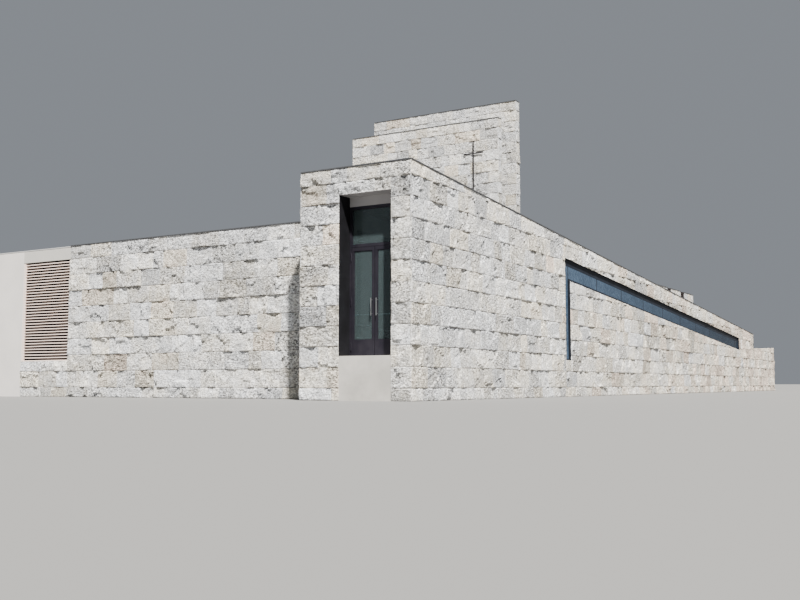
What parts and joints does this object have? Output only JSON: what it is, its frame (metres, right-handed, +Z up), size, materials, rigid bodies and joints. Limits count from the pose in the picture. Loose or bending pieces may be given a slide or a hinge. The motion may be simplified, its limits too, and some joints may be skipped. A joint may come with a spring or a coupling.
{
  "type": "modern stone chapel",
  "caption": "Low modern chapel in rock-faced stone: long wall with falling coping and slot window, recessed entrance doors, louvred wing, tower blades with a cross.",
  "frame": {"origin": "middle of the base rectangle, at the lowest ground that the walls reach", "axes": "+Z up, +Y from the entrance front to the rear along the long wall, +X to the right seen from the front"},
  "size_m": [15.65, 39.6, 12.15],
  "materials": {
    "limestone": "rock-faced limestone in courses",
    "slate": "honed dark slate",
    "floor": "broomed concrete",
    "roofing": "pale gravel",
    "louvre": "satin beige paint",
    "render": "smooth pale render",
    "dark_panel": "matt dark brown",
    "door_metal": "dark bronze anodised",
    "head_panel": "satin grey",
    "steel": "brushed",
    "glass": "clear, dark behind",
    "slot_glass": "slate-blue tinted",
    "cross_metal": "matt dark grey"
  },
  "bodies": {
    "building": {"long_wall": "limestone", "low_end_wall": "limestone", "west_wall": "limestone", "rear_wall": "limestone", "long_wall_slot_frame": "door_metal", "long_wall_slot_glass": "slot_glass", "west_wall_slot_frame": "door_metal", "west_wall_slot_glass": "slot_glass", "portal_left_pier": "limestone", "portal_right_pier": "limestone", "portal_lintel": "limestone", "portal_side_wall": "limestone", "wing_wall": "limestone", "louvre_sill_wall": "limestone", "louvre_fascia": "render", "end_bay_wall": "render", "louvre_panel": "louvre", "louvre_backing": "dark_panel", "doorstep": "floor", "hall_floor": "floor", "nave_floor": "floor", "wing_roof": "roofing", "hall_roof": "roofing", "nave_roof": "roofing", "hall_upstand": "limestone", "nave_upstand": "limestone", "roof_block_1": "limestone", "roof_block_2": "limestone", "roof_block_3": "limestone", "roof_block_link_1": "dark_panel", "roof_block_link_2": "dark_panel", "tower_front_blade": "limestone", "tower_front_blade_coping": "slate", "tower_rear_blade": "limestone", "tower_rear_blade_coping": "slate", "cross": "cross_metal", "portal_coping": "slate", "long_wall_coping": "slate", "hall_left_coping": "slate", "nave_upstand_coping": "slate", "west_nave_coping": "slate", "rear_coping": "slate", "wing_coping": "slate", "west_wing_coping": "slate", "door_frame": "door_metal", "head_panel": "head_panel", "transom_glass": "glass", "threshold": "steel"},
    "left_door": {"left_door_leaf": "door_metal", "left_door_glass": "glass", "left_door_pull": "steel", "left_door_push_bar": "steel"},
    "right_door": {"right_door_leaf": "door_metal", "right_door_glass": "glass", "right_door_pull": "steel", "right_door_push_bar": "steel"}
  },
  "joints": [
    {"name": "left_door_hinge", "type": "hinge", "parent": "building", "child": "left_door", "pos_m": [6.0633, -19.388, 2.1473], "axis": [0, 0, -1], "range_deg": [0, 90]},
    {"name": "right_door_hinge", "type": "hinge", "parent": "building", "child": "right_door", "pos_m": [7.2637, -19.388, 2.1473], "axis": [0, 0, 1], "range_deg": [0, 90]}
  ]
}
